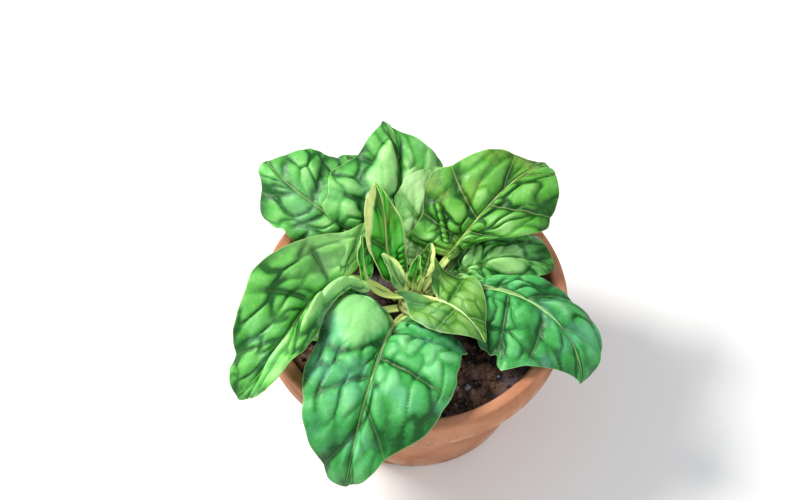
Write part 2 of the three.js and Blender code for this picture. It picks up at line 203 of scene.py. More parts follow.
# %% Make the floor and the lights
FLOOR_SIZE, FLOOR_DROP = 6.0, 0.0003
PLANT_MIDDLE = (0, 0, 0.15)
corners = np.array([[-1, -1, 0], [1, -1, 0], [1, 1, 0], [-1, 1, 0]]) * FLOOR_SIZE / 2
paper = new_material("pale_floor", 0.9, Base_Color=(0.9, 0.9, 0.89, 1))[0]
floor = mesh_object("floor", corners - [0, 0, FLOOR_DROP], np.array([[0, 1, 2, 3]]), paper)


def soft_light(name, place, size, power, colour):
    """A square light of that size in metres that faces the plant."""
    lamp = bpy.data.lights.new(name, "AREA")
    lamp.size, lamp.energy, lamp.color = size, power, colour
    light = new_object(name, lamp)
    light.location = place
    facing = np.array(PLANT_MIDDLE) - np.array(place)
    pitch = math.atan2(math.hypot(facing[0], facing[1]), -facing[2])
    light.rotation_euler = (pitch, 0, math.atan2(facing[1], facing[0]) - math.pi / 2)


soft_light("window_light", (-1.2, 0.45, 1.35), 0.6, 47, (1.0, 0.98, 0.94))
soft_light("fill_light", (1.2, -0.9, 1.5), 1.4, 14, (0.95, 0.97, 1.0))
world = bpy.data.worlds.new("studio")
world.use_nodes = True
sky = world.node_tree.nodes["Background"].inputs
sky["Color"].default_value = (0.93, 0.96, 1.0, 1)
sky["Strength"].default_value = 0.5
scene.world = world
scene.view_settings.view_transform = "Standard"
print("floor and two lights ready")

# %% [markdown]
# ## The leaves' sizes
# A savoy spinach leaf is a stalk that widens into a puckered blade. Each leaf here is a rib, a
# curve in space through four points, and two halves with their own widths. The numbers are the
# same as the solids have, so each fine leaf covers its solid. The beads, the pale folds and the
# domes of leaf_right are in the fine leaves only. A leaf could also be sculpted or cut from a
# picture, but a formula keeps all eighteen alike in kind and different in shape.
#
# Lengths are in millimetres and turns in degrees. A pair is for the left and the right half, or
# for the foot and the tip in roundness and bank.
# - start, whorl: the stalk's bearing round the crown, and its whorl there.
# - stalk, sheath: the stalk's half width, and how many times wider its cut end is.
# - rib: the blade's foot, middle and tip, measured from the crown at the soil's surface.
# - left, right: half widths at even steps from foot to tip, bowed by roundness. Without right,
#   both halves have left's.
# - lobe, lobe_rise, lobe_fall: how far the foot runs back, how it rises and how soon it ends.
# - bank, cup, curl: the turn of the blade, of each half, and of each half towards its margin.
# - veins, pucker, scallop, wave, waves: side veins in a half, their puffs, notches and ruffle.
# - domes: place along from 0 to 1 and across from -1 to 1, length, width, height.
# - beads: a row's first and last place, how many, and a bead's length, width, height.
# - fold: the half that shows its pale underside, from where along, and how wide at the tip.

# %% Leaf sizes
WHORLS = [(14.0, 4.0), (11.5, 8.0), (8.0, 12.0), (5.0, 15.0)]  # radius and height
PLAIN_LEAF = dict(
    kind="large", whorl=0, stalk=3.0, sheath=1.15, lobe=(14, 14), lobe_rise=0.012,
    lobe_fall=2, roundness=(0.6, 1.0), bank=(0, 0), cup=(8, 8), curl=(-25, -25), veins=5,
    pucker=6.5, wave=3.6, waves=2.5, scallop=3.2, domes=(), beads=(), fold=(1, 0, 0),
    coat="blade_green",
)
BUD = dict(kind="small", whorl=3, stalk=1.5, lobe=(1, 1), cup=(50, 50), curl=(0, 0), veins=2,
           pucker=0.8, wave=0.6, scallop=0.3)
LEAVES = dict(
    leaf_front=dict(
        start=241, seed=1, cup=(8, 11), coat="blade_blue_green",
        rib=[(-15, -31, 20), (-35, -94, 32), (-54, -151, -28)],
        left=[44, 84, 68, 66, 56, 33, 21, 12], right=[116, 71, 61, 52, 50, 41, 36, 40],
        lobe=(28, 33), lobe_rise=0.03, domes=[(0.27, 0.5, 0.17, 0.43, 10)],
    ),
    leaf_left=dict(
        start=165, seed=2, bank=(-32, 8), cup=(34, 18), coat="blade_light_green",
        rib=[(-56, 7, 28), (-97, -49, 44), (-139, -92, 8)],
        left=[40, 20, 17, 19, 24, 28, 17, 8], right=[94, 55, 51, 52, 42, 36, 34, 40],
        lobe=(40, 60), lobe_fall=5, domes=[(0.3, -0.5, 0.26, 0.36, 8)],
    ),
    leaf_back_left=dict(
        start=138, whorl=1, stalk=2.7, seed=3, roundness=(0.6, 0.8), cup=(-20, 8), curl=(-40, -25),
        rib=[(-45, 45, 30), (-92, 73, 52), (-122, 104, 57)], lobe=(6, 14),
        left=[14, 19, 29, 33, 34, 36, 20, 22], right=[46, 50, 54, 55, 51, 49, 42, 14],
    ),
    leaf_back=dict(
        start=105, whorl=1, stalk=2.7, seed=4, roundness=(0.6, 1.5), cup=(16, -8),
        rib=[(-12, 40, 27), (-12, 91, 52), (-26, 139, 66)],
        left=[24, 38, 66, 62, 56, 40, 34, 18], right=[34, 37, 42, 43, 45, 29, 14, 12],
        lobe=(6, 14), domes=[(0.68, -0.32, 0.16, 0.29, 6)],
    ),
    leaf_back_pale=dict(
        start=82, kind="middle", whorl=2, stalk=2.4, seed=5, cup=(24, -8), pucker=2.5,
        rib=[(2, 28, 19), (14, 61, 46), (27, 94, 60)], lobe=(6, 3), coat="pale_blade",
        left=[12, 14, 18, 24, 33, 32, 30, 34], right=[10, 13, 18, 19, 19, 17, 15, 12],
    ),
    leaf_back_right=dict(
        start=57, whorl=1, stalk=2.8, seed=6, roundness=(0.6, 0.75), cup=(26, 5),
        rib=[(29, 28, 32), (65, 60, 64), (109, 102, 56)], coat="blade_warm_green",
        left=[88, 50, 47, 53, 40, 27, 9, 5], right=[6, 8, 14, 36, 47, 42, 30, 22],
        lobe=(22, 8), beads=[(0.23, -0.26, 0.37, -0.63, 6, 0.019, 0.078, 2.6)],
    ),
    leaf_right=dict(
        start=22, whorl=1, seed=7, curl=(-10, -45),
        rib=[(31, 15, 16), (70, 24, 26), (114, 21, 23)], lobe=(4, 6),
        left=[9, 16, 24, 32, 32, 33, 26, 14], right=[4, 8, 12, 20, 22, 22, 16, 8],
        domes=[(0.665, 0.12, 0.14, 0.55, 7), (0.41, -0.18, 0.085, 0.45, 5),
               (0.56, -0.8, 0.16, 0.2, 3)],
    ),
    leaf_front_right=dict(
        start=3, seed=8, cup=(8, -4), coat="blade_blue_green",
        rib=[(45, 0, 25), (104, -28, 34), (132, -77, 5)],
        left=[6, 9, 15, 23, 28, 31, 35, 22], right=[44, 49, 54, 54, 59, 48, 21, 12],
    ),
    leaf_upright=dict(
        start=130, kind="middle", whorl=2, stalk=2.2, seed=9, cup=(35, 30),
        veins=3, pucker=3, wave=1, scallop=0.6, coat="young_dark_blade",
        rib=[(-15, 14, 20), (-23, 40, 50), (-32, 67, 78)],
        left=[14, 19, 17, 20, 21, 23, 22, 13], right=[25, 20, 17, 15, 14, 9, 6, 5],
        lobe=(3, 3), beads=[(0.06, 0.5, 0.4, 0.76, 7, 0.022, 0.22, 1.4)], fold=(-1, 0.3, 0.5),
    ),
    leaf_young_left=dict(
        start=172, kind="small", whorl=2, stalk=2, seed=11, cup=(30, 30),
        veins=2, pucker=1.2, wave=1, scallop=0.4, lobe=(2, 2), coat="young_dark_blade",
        rib=[(-38, 8, 27), (-41, 19, 41), (-42, 31, 55)], left=[7, 8, 8, 7, 5],
    ),
    leaf_young_front=dict(
        start=345, kind="middle", whorl=3, stalk=1.9, seed=10, coat="young_blade",
        veins=3, pucker=2.5, wave=1.5, scallop=1,
        rib=[(19, -12, 26), (34, -26, 35), (56, -53, 28)], lobe=(36, 38), lobe_rise=0.045,
        left=[66, 38, 33, 33, 24, 15, 8, 5], right=[50, 28, 30, 28, 27, 19, 9, 5],
    ),
    leaf_rear_low=dict(
        start=84, kind="middle", seed=12, cup=(12, 12),
        rib=[(6, 45, 7), (8, 92, 13), (10, 138, 21)], left=[12, 18, 26, 28, 24],
    ),
    leaf_rear_left=dict(
        start=125, kind="middle", seed=13, cup=(12, 12),
        rib=[(-22, 43, 8), (-42, 88, 21), (-55, 133, 27)],
        left=[18, 26, 30, 30, 26], right=[12, 21, 28, 30, 26],
    ),
    leaf_rear_right=dict(
        start=46, kind="middle", seed=14, cup=(12, 12),
        rib=[(34, 34, 9), (70, 70, 17), (100, 98, 21)], left=[18, 24, 28, 28, 24],
    ),
    leaf_side_left=dict(
        start=203, kind="middle", seed=15, cup=(10, 10),
        rib=[(-40, -12, 6), (-66, -20, 7), (-93, -30, 8)], left=[12, 18, 20, 20, 16],
    ),
    leaf_bud_left=dict(
        BUD, start=180, seed=16, coat="pale_blade", fold=(1, 0.0, 0.45),
        rib=[(-10, 3, 20), (-17, 11, 32), (-26, 21, 44)],
        left=[11, 15, 15, 10, 5], right=[7, 9, 9, 7, 5],
    ),
    leaf_bud_middle=dict(
        BUD, start=94, seed=17, coat="young_dark_blade",
        rib=[(0, 9, 21), (2, 13, 33), (4, 18, 46)], left=[7, 8, 8, 7, 6],
    ),
    leaf_bud_right=dict(
        BUD, start=48, seed=18, coat="young_blade", cup=(40, 40), veins=3, pucker=1.2, wave=0.8,
        scallop=0.4, rib=[(8, 14, 22), (12, 22, 34), (14, 30, 46)], left=[6, 8, 9, 8, 6],
        lobe=(2, 2), fold=(1, -0.5, 0.85),
        beads=[(0.1, -0.6, 0.8, -0.6, 6, 0.045, 0.26, 1.2),
               (0.2, -0.1, 0.85, -0.1, 5, 0.045, 0.24, 1.2)],
    ),
)
leaves = {name: {"right": own["left"], **PLAIN_LEAF, **own} for name, own in LEAVES.items()}
print("leaves:", len(leaves))

# %% [markdown]
# ## The leaf's surface
# The blade is a grid: tau runs from the blade's foot to its tip, and v from the rib to the
# margin. Three steps place a point. The flat outline says how far along and how far out it lies,
# the relief says how far it stands off, and the rib's frame carries it into space.


# %% The rib in space
def along_rib(leaf):
    """The rib as the one cubic through four points, at times set by their distances, with its
    arc length, its direction, and the level direction across it."""
    radius, height = WHORLS[leaf["whorl"]]
    bearing = math.radians(leaf["start"])
    root = (radius * math.cos(bearing), radius * math.sin(bearing), height)
    points = np.array([root, *leaf["rib"]], dtype=float)
    steps = np.linalg.norm(np.diff(points, axis=0), axis=1)
    times = np.concatenate([[0], np.cumsum(steps)]) / steps.sum()
    t = np.linspace(0, 1, 241)
    line = np.vander(t, 4) @ np.polyfit(times, points, 3)
    arc = np.concatenate([[0], np.cumsum(np.linalg.norm(np.diff(line, axis=0), axis=1))])
    tangent = np.gradient(line, arc, axis=0)
    across = np.cross(points[-1] - points[0], [0, 0, 1.0])
    foot = float(np.interp(times[1], t, arc))
    return {"line": line, "arc": arc, "tangent": tangent, "across": unit(across), "foot": foot,
            "total": arc[-1], "length": arc[-1] - foot}


def unit(vectors):
    """The vectors, each cut or drawn out to a length of 1."""
    return vectors / np.linalg.norm(vectors, axis=-1, keepdims=True)


def mix(a, b, t):
    """From a to b as t goes from 0 to 1."""
    return a + (b - a) * t


def held(share):
    """The share, kept between 0 and 1."""
    return np.clip(share, 0, 1)


def bell(distance, width):
    """1 at no distance, falling away smoothly over that width."""
    return np.exp(-((distance / width) ** 2))


def by_half(pair, side):
    """The left value where side is negative, and the right one elsewhere."""
    return np.where(side < 0, pair[0], pair[1])


# %% The blade laid flat
VEIN_SWEEP, VEIN_BEND, VEIN_CROWDING, VEIN_START = 1.7, 1.2, 0.85, 0.37
LOBE_REACH, LOBE_ROUND = 1.1, 0.35


def bulge(t):
    """0 at both ends of a stretch and 1 in its middle, as a half wave of a sine."""
    return np.maximum(0, np.sin(np.pi * t))


def spread(stations, tau):
    """Half widths at even stations, joined by a Catmull-Rom curve."""
    widths = np.asarray(stations, dtype=float)
    last = widths.size - 1
    x = np.clip(tau * widths.size - 0.5, 0, last)
    i = np.minimum(np.floor(x).astype(int), last - 1)
    f = x - i
    a, b, c, d = (widths[np.clip(i + k, 0, last)] for k in (-1, 0, 1, 2))
    return b + 0.5 * f * (c - a + f * (2 * a - 5 * b + 4 * c - d + f * (3 * (b - c) + d - a)))


def vein_count(leaf, tau, side):
    """A point's place among the side veins: whole numbers are veins, and halves the puffs
    between them. The right half's veins leave the rib between the left half's."""
    start = (side > 0) / 2 + VEIN_START * leaf["seed"]
    return leaf["veins"] * tau ** VEIN_CROWDING + start


def flat_blade(leaf, length, tau, v, side):
    """How far along the rib and how far out from it a point lies. The margin swings back into
    the lobes at the foot, and each side vein bends from the rib to the margin."""
    bow = bulge(tau)
    tooth = np.abs(np.sin(np.pi * vein_count(leaf, tau, side))) - 0.6
    out = np.where(side < 0, spread(leaf["left"], tau), spread(leaf["right"], tau))
    out = out * bow ** mix(*leaf["roundness"], tau) + leaf["scallop"] * tooth * bow**0.5
    out = np.maximum(out, leaf["stalk"] * mix(1, 0.25, tau))
    lobe = LOBE_REACH * by_half(leaf["lobe"], side) * bow**LOBE_ROUND
    edge = length * (1 - np.cos(np.pi * tau)) / 2 - lobe * (1 - tau) ** leaf["lobe_fall"]
    return mix(length * tau**VEIN_SWEEP, edge, v**VEIN_BEND), out * v


# %% [markdown]
# ## Puffs, cells and creases
# What makes a savoy leaf is its relief. Between two side veins the blade grows faster than the
# veins do, so it puffs up, and the net of small veins ties each puff down into cells. The large
# puffs and domes are the solids' own formula. The rest is new. The middle of each cell is a point
# on a shaken grid, and the height rises from the line where two cells meet. Fine wrinkles follow
# some of those lines. A dome is smooth and has a crease round it, and beads lie in rows.

# %% The relief of a blade
CELLS, CELL_DENT = 2.1, 0.35
FADE_TO_ENDS, FOLD_EDGE = 0.8, 0.08


def large_relief(leaf, tau, v, side):
    """Puffs between the side veins, each dented into cells, a ruffled margin, and the domes."""
    count = vein_count(leaf, tau, side)
    half = (side > 0) * 1.0
    angle = 12.9898 * np.floor(count) + 4.6 * half + 4.1 * leaf["seed"] + 3.1
    chance = 0.5 + 0.5 * np.sin(angle)
    fade = bulge(tau**FADE_TO_ENDS) ** 0.5
    puff = bulge(count - np.floor(count)) ** 0.6 * bulge(v**0.62) ** 0.7
    dent = CELL_DENT * (0.5 + 0.5 * np.cos(2 * np.pi * (CELLS * v + chance)))
    turn = leaf["waves"] * tau + 0.8 * (half / 2 + VEIN_START * leaf["seed"])
    height = leaf["pucker"] * fade * puff * (0.55 + 0.65 * chance) * (1 - dent)
    height = height + leaf["wave"] * fade * v**2.2 * np.sin(2 * np.pi * turn)
    for dome in leaf["domes"]:
        height = height + dome[-1] * np.exp(-(from_dome(dome, tau, v, side) ** 3))
    return height


def from_dome(dome, tau, v, side):
    """The squared distance from a dome's middle, where 1 is at its edge."""
    place, reach, long, wide, _ = dome
    return ((tau - place) / long) ** 2 + ((v * side - reach) / wide) ** 2


def from_beads(leaf, tau, v, side):
    """The squared distance from the nearest bead. The beads lie evenly in straight rows."""
    away = np.full(np.broadcast(tau, v).shape, 99.0)
    for place, reach, last_place, last_reach, count, long, wide, _ in leaf["beads"]:
        for t in np.linspace(0, 1, count):
            bead = (mix(place, last_place, t), mix(reach, last_reach, t), long, wide, 0)
            away = np.minimum(away, from_dome(bead, tau, v, side))
    return away


def fold_share(leaf, tau, v, side):
    """1 on the pale fold of one half, which starts at the margin and widens towards the tip."""
    half, start, width = leaf["fold"]
    width = width * held((tau - start) / (1 - start)) ** 0.7
    return held((v - 1 + width) / FOLD_EDGE) * (side == half) * (width > 0)


def shaken_cells(x, y, seed):
    """Cells with a middle in every square of a grid, at a place drawn once from the seed.
    Returns, in grid steps, how far a point is from the line where two cells meet, which is the
    second nearest middle's distance less the nearest one's, and how far from its own middle."""
    draw = np.random.default_rng(seed).random((64, 64, 2))
    nearest = np.full(np.broadcast(x, y).shape, 9.0)
    second = nearest.copy()
    for i in (-1, 0, 1):
        for j in (-1, 0, 1):
            column, row = np.floor(x) + i, np.floor(y) + j
            shake = draw[column.astype(int) % 64, row.astype(int) % 64]
            middle_x = column + 0.15 + 0.7 * shake[..., 0]
            middle_y = row + 0.15 + 0.7 * shake[..., 1]
            gap = np.hypot(x - middle_x, y - middle_y)
            second = np.minimum(second, np.maximum(nearest, gap))
            nearest = np.minimum(nearest, gap)
    return second - nearest, nearest


def smooth_noise(x, y, seed):
    """Numbers from -1 to 1 drawn at whole x and y, and blended smoothly between them."""
    draw = np.random.default_rng(seed).uniform(-1, 1, (64, 64))
    i, j = np.floor(x).astype(int), np.floor(y).astype(int)
    f, g = x - i, y - j
    f, g = f * f * (3 - 2 * f), g * g * (3 - 2 * g)
    at = lambda a, b: draw[(i + a) % 64, (j + b) % 64]
    return mix(mix(at(0, 0), at(1, 0), f), mix(at(0, 1), at(1, 1), f), g)


# %% Fine leaves
FINE_GRIDS = dict(
    large=dict(rows=132, columns=58, stalk_rows=40, cell=17.0, rise=2.8),
    middle=dict(rows=84, columns=34, stalk_rows=28, cell=9.0, rise=1.3),
    small=dict(rows=60, columns=22, stalk_rows=20, cell=5.0, rise=0.5),
)
ROW_SPREAD, COLUMN_SPREAD = 1.35, 1.15
CELLS_A_PUFF, CELL_RADIUS, CELL_BORDER = 1.6, 0.85, 0.3
SMALL_CELLS, SMALL_RISE = 3, 0.12
CREASE, CREASE_WIDTH = 1.3, 1.8
WRINKLE, WRINKLE_WIDTH = 0.3, 0.14
DOME_EDGE, DOME_EDGE_WIDTH, DOME_SMOOTH = 1.12, 0.1, 0.75
BEAD_ROOM, BEAD_EDGE, BEAD_EDGE_WIDTH = 3, 1.2, 0.25
GROOVE, GROOVE_WIDTH = 0.8, 0.5
KEEL, KEEL_WIDTH, KEEL_TAPER = 2.4, 1.1, 0.8
THIN, THICK = 0.35, 0.6
RIM, RAGGED, MARGIN_LUMP = 0.994, 0.03, 0.5
OTHER_HALF = 30


def fine_relief(leaf, grid, length, tau, v, side, out):
    """The large relief with cells between the side veins and a crease along each of them.
    Returns the height, how high in its cell a point stands, and the crease."""
    large = large_relief(leaf, tau, v, side)
    count = vein_count(leaf, tau, side)
    seed = 40 * leaf["seed"] + 1
    x = CELLS_A_PUFF * count + 0.3 * smooth_noise(0.12 * out, 3 * count, seed)
    y = out / grid["cell"] + 0.35 * smooth_noise(2 * count, 0.08 * out, seed + 1)
    y = y + OTHER_HALF * (side > 0)
    edge, away = shaken_cells(x, y, seed + 2)
    cell = held(1 - (away / CELL_RADIUS) ** 2) * held(edge / CELL_BORDER) ** 0.9
    here = held(0.35 + 1.3 * smooth_noise(0.9 * x + 7, 0.9 * y + 7, seed + 5))
    wrinkle = WRINKLE * grid["rise"] * here * bell(edge, WRINKLE_WIDTH)
    edge, away = shaken_cells(SMALL_CELLS * x, SMALL_CELLS * y, seed + 3)
    small = 1 - away**2
    from_vein = np.abs(count - np.round(count)) * length / leaf["veins"]
    crease = np.maximum(bell(from_vein, CREASE_WIDTH) * (1 - v) ** 0.4, wrinkle)
    from_rib = bell(out, leaf["stalk"] * mix(0.8, 0.2, tau))
    fade = bulge(tau**FADE_TO_ENDS) ** 0.5 * held(out / (2 * leaf["stalk"])) * (1 - 0.5 * v**3)
    for dome in leaf["domes"]:
        away = from_dome(dome, tau, v, side) ** 0.5
        inside = held((DOME_EDGE - away) / 0.3)
        fade = fade * (1 - DOME_SMOOTH * inside)
        crease = np.maximum(crease * (1 - inside), bell(away - DOME_EDGE, DOME_EDGE_WIDTH))
    away = from_beads(leaf, tau, v, side)
    bead, near = bell(away, 1), bell(away, BEAD_ROOM)
    crease = mix(crease, bell(away**0.5 - BEAD_EDGE, BEAD_EDGE_WIDTH), near)
    cell = mix(cell, bead, near)
    if leaf["beads"]:
        large = large + leaf["beads"][0][-1] * bead
    height = large + fade * grid["rise"] * (cell - 0.5 + SMALL_RISE * (small - 0.5))
    height = height - fade * CREASE * crease
    height = height + MARGIN_LUMP * v**4 * fade * smooth_noise(9 * count, 2 * v, seed + 4)
    return height, cell, np.maximum(crease * fade, from_rib)


def in_space(leaf, rib, along, out, side, height, on_stalk):
    """Carries flat points into space. The rib's frame is level across, banked by its own angle,
    and each half turns up or down from it. Behind the foot a lobe runs straight back and rises
    with the square of the distance. Returns the points and the blade's normals."""
    behind = np.zeros_like(along) if on_stalk else np.maximum(0, -along)
    reach = along + behind + rib["foot"]
    at = lambda track: np.stack([np.interp(reach, rib["arc"], track[:, k]) for k in range(3)], -1)
    point, tangent = at(rib["line"]), unit(at(rib["tangent"]))
    across = unit(rib["across"] - (tangent @ rib["across"])[..., None] * tangent)
    normal = np.cross(across, tangent)
    point = point + tangent * (np.maximum(0, reach - rib["total"]) - behind)[..., None]
    point = point + normal * (leaf["lobe_rise"] * behind**2)[..., None]
    started = held(1 + along / (0.6 * rib["foot"])) if on_stalk else 1.0
    bank = np.radians(mix(*leaf["bank"], held(along / rib["length"]))) * started
    bank = (bank + 0 * along)[..., None]
    right = across * np.cos(bank) - normal * np.sin(bank)
    up = across * np.sin(bank) + normal * np.cos(bank)
    widest = by_half((max(leaf["left"]), max(leaf["right"])), side)
    cupped = by_half(leaf["cup"], side) * held(out / (2 * leaf["stalk"]))
    angle = np.radians(cupped + by_half(leaf["curl"], side) * out / widest / 2)[..., None]
    side = side[..., None]
    outward = right * side * np.cos(angle) + up * np.sin(angle)
    facing = up * np.cos(angle) - right * side * np.sin(angle)
    return point + outward * out[..., None] + facing * height[..., None], facing


def leaf_grid(leaf):
    """A whole leaf as a grid of points, from the stalk's cut end to the tip and from the left
    margin to the right, with the maps that its material reads."""
    grid, rib, half_stalk = FINE_GRIDS[leaf["kind"]], along_rib(leaf), leaf["stalk"]
    tau, v = (np.sort(np.append(np.linspace(0, 1, grid[lines]) ** power, RIM))
              for lines, power in (("rows", ROW_SPREAD), ("columns", COLUMN_SPREAD)))
    tau, v = np.meshgrid(tau, np.concatenate([-v[:0:-1], v]), indexing="ij")
    side, v = np.where(v < 0, -1.0, 1.0), np.abs(v)
    along, out = flat_blade(leaf, rib["length"], tau, v, side)
    ragged = smooth_noise(5 * vein_count(leaf, tau, side), 0 * tau + 3, 40 * leaf["seed"] + 6)
    out = out * (1 + RAGGED * v**6 * ragged)
    height, cell, crease = fine_relief(leaf, grid, rib["length"], tau, v, side, out)
    height = height - GROOVE * bell(out, GROOVE_WIDTH * half_stalk) * (1 - tau) ** 0.5
    middle, facing = in_space(leaf, rib, along, out, side, height, False)

    share = (np.arange(grid["stalk_rows"]) / grid["stalk_rows"])[:, None]
    stalk_v, stalk_side = v[:1], side[:1] + 0 * share
    stalk_out = half_stalk * mix(leaf["sheath"], 1, share**0.5) * stalk_v
    stalk_along = -rib["foot"] * (1 - share) + 0 * stalk_v
    stalk_height = -GROOVE * bell(stalk_out, GROOVE_WIDTH * half_stalk)
    stalk_middle, stalk_facing = in_space(
        leaf, rib, stalk_along, stalk_out, stalk_side, stalk_height, True)

    join = lambda stalk, blade: np.concatenate([stalk, blade])
    keel = join(bell(stalk_out, KEEL_WIDTH * half_stalk),
                bell(out, KEEL_WIDTH * half_stalk) * (1 - KEEL_TAPER * tau))
    pale = np.exp(-14 * tau) * bell(out, 2 * half_stalk)
    pale = np.maximum(pale, fold_share(leaf, tau, v, side))
    nothing = np.zeros_like(stalk_out)
    return {
        "middle": join(stalk_middle, middle), "facing": join(stalk_facing, facing),
        "keel": KEEL * half_stalk / 3 * keel, "thick": mix(THICK, THIN, join(nothing, v**2)),
        "cell": join(nothing + 0.5, cell), "crease": join(nothing, crease),
        "stalk": join(nothing + 1, pale), "tau": join(nothing, tau),
        "v": join(stalk_v + nothing, v), "out": join(stalk_out, out),
        "puff": join(nothing, large_relief(leaf, tau, v, side) / max(leaf["pucker"], 1)),
    }


# %% Closing a leaf's two faces
VEIN_MAP, RIB_MAP = 10, 100  # veins, and millimetres, in one unit of the map


def closed_sheet(rows, columns):
    """Squares for a top and an underside that are numbered row by row, one after the other, and
    for the rim that joins them."""
    top = grid_quads(rows, columns)
    under = top[:, ::-1] + rows * columns
    number = np.arange(rows * columns).reshape(rows, columns)
    rim = np.concatenate([number[0, :-1], number[:-1, -1], number[-1, :0:-1], number[:0:-1, 0]])
    after = np.roll(rim, -1)
    edge = np.stack([rim, rim + rows * columns, after + rows * columns, after], axis=-1)
    return np.concatenate([top, under, edge])


def make_leaf(node, leaf, material):
    """The fine piece for one leaf's node, with its two uv maps and its attributes."""
    part = leaf_grid(leaf)
    half_thick = part["thick"][..., None] / 2
    top = part["middle"] + part["facing"] * half_thick
    under = part["middle"] - part["facing"] * (half_thick + part["keel"][..., None])
    rows, columns = part["v"].shape
    points = (np.concatenate([top.reshape(-1, 3), under.reshape(-1, 3)]) + [0, 0, SOIL_TOP]) * MM
    quads = closed_sheet(rows, columns)
    piece = mesh_object("fine_" + node, points, quads, material)
    for name in ("cell", "crease", "stalk", "puff"):
        add_values(piece, name, np.tile(part[name].ravel(), 2))
    add_values(piece, "under", np.repeat([0.0, 1.0], rows * columns))
    own = quads.ravel() % (rows * columns)
    column = quads % (rows * columns) % columns
    half = np.where(column.mean(axis=1) < (columns - 1) / 2, -1.0, 1.0).repeat(4)
    tau, v, out = (part[name].ravel()[own] for name in ("tau", "v", "out"))
    for name, across, up in (("vein_map", vein_count(leaf, tau, half) / VEIN_MAP, v),
                             ("rib_map", tau, out / RIB_MAP)):
        layer = piece.data.uv_layers.new(name=name)
        layer.data.foreach_set("uv", np.stack([across, up], axis=-1).astype(np.float32).ravel())
    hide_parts(node)
    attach(piece, "root")
    return piece


print("leaf surface ready")

# %% [markdown]
# ## The leaves' skin
# The upper face of a spinach leaf is a dark, slightly bluish green with a satin gloss. The colour
# is painted paler on top of each puff, a painted highlight, and darkest in the creases, a painted
# shade.
# The ribs and veins are pale and yellowish, a thin pale line of painted highlight runs along the
# margin, and the underside, which a fold shows, is lighter and duller.
# The vein lines are worked out in the material from the leaf's vein map, so they stay sharp at
# any distance.

# %% Leaf materials
STALK = (0.68, 0.8, 0.27)
DOME_GREEN = (0.24, 0.55, 0.15)
GLOSS = 0.42
VEIN_WIDTH, VEIN_THINNING = 0.034, -0.022
RIB_WIDTH, RIB_THINNING = 0.021, -0.017


def leaf_material(name, crease_shade, middle, light, touch, vein, vein_show=0.12, edge=0.98,
                  foot=0, rib_show=1.0):
    """Green from dark in the creases, a painted shade, to light on the puffs and cell tops, a
    painted highlight, and light towards the blade's foot, touched here and there with another
    green, and with the veins and a painted highlight along the margin drawn over it."""
    material, tree, shader = new_material(
        name, GLOSS, Subsurface_Weight=0.12, Subsurface_Scale=0.002,
        Subsurface_Radius=(0.6, 1.0, 0.25), Specular_IOR_Level=0.3)
    cell, crease, puff = (attribute(tree, word) for word in ("cell", "crease", "puff"))
    patches = reckon("SUBTRACT", grain(tree, 60, 6, 0.62), 0.5)
    # Painted shade and highlight: the height is raised on the puffs and cell tops and lowered in
    # the creases, and the green follows it from the darkest to the lightest.
    height = reckon("MULTIPLY_ADD", puff, 0.5, 0.05)
    height = reckon("MULTIPLY_ADD", cell, 0.32, height)
    height = reckon("MULTIPLY_ADD", patches, 0.9, height)
    height = reckon("MULTIPLY_ADD", crease, -0.75, height, clamp=True)

    veins, ribs = (parts_of(add_node(tree, "UVMap", uv_map=word).outputs[0])
                   for word in ("vein_map", "rib_map"))
    count = reckon("MULTIPLY_ADD", veins[0], VEIN_MAP, 0.5)
    away = reckon("ABSOLUTE", reckon("SUBTRACT", reckon("FRACT", count), 0.5))
    width = reckon("MULTIPLY_ADD", veins[1], VEIN_THINNING, VEIN_WIDTH)
    side_vein = band(reckon("DIVIDE", away, width), 0.35, 1.0, vein_show, 0.0)
    width = reckon("MULTIPLY_ADD", ribs[0], RIB_THINNING, RIB_WIDTH)
    rib = band(reckon("DIVIDE", ribs[1], width), 0.5, 1.0, rib_show, 0.0)
    lines = reckon("MAXIMUM", side_vein, rib)
    lines = reckon("MULTIPLY", lines, band(puff, 0.8, 1.2, 1.0, 0.15))
    # A thin pale line along the margin, in the vein colour, is a painted highlight.
    margin = band(veins[1], edge, 0.997, 0.0, 0.45 if edge > 0.9 else 0.8)
    lines = reckon("MAXIMUM", lines, margin, clamp=True)

    near_foot = band(ribs[0], 0.05, 0.5, foot, 0.0)
    near_foot = reckon("MULTIPLY", near_foot, band(crease, 0.1, 0.5, 1.0, 0.25))
    under = reckon("MULTIPLY", attribute(tree, "under"), 0.275)
    # The darkest green shows in the creases as painted shade and the lightest on the tops as
    # painted highlight.
    colour = painted(
        crease_shade, (band(height, 0.0, 0.5), middle), (band(height, 0.4, 1.0), light),
        (band(grain(tree, 24, 5, 0.6), 0.5, 0.7, 0, 0.55), touch),
        (band(puff, 0.9, 1.6, 0, 0.65), DOME_GREEN),
        (near_foot, light), (lines, vein), (attribute(tree, "stalk"), STALK), (under, vein))
    fine = reckon("MULTIPLY_ADD", grain(tree, 260, 3), 1.6, grain(tree, 900, 2))
    dress(tree, shader, colour, fine, 0.0006, 0.5)
    rough = band(grain(tree, 180, 2), 0.3, 0.7, GLOSS - 0.06, GLOSS + 0.12)
    tree.links.new(rough, shader.inputs["Roughness"])
    return material
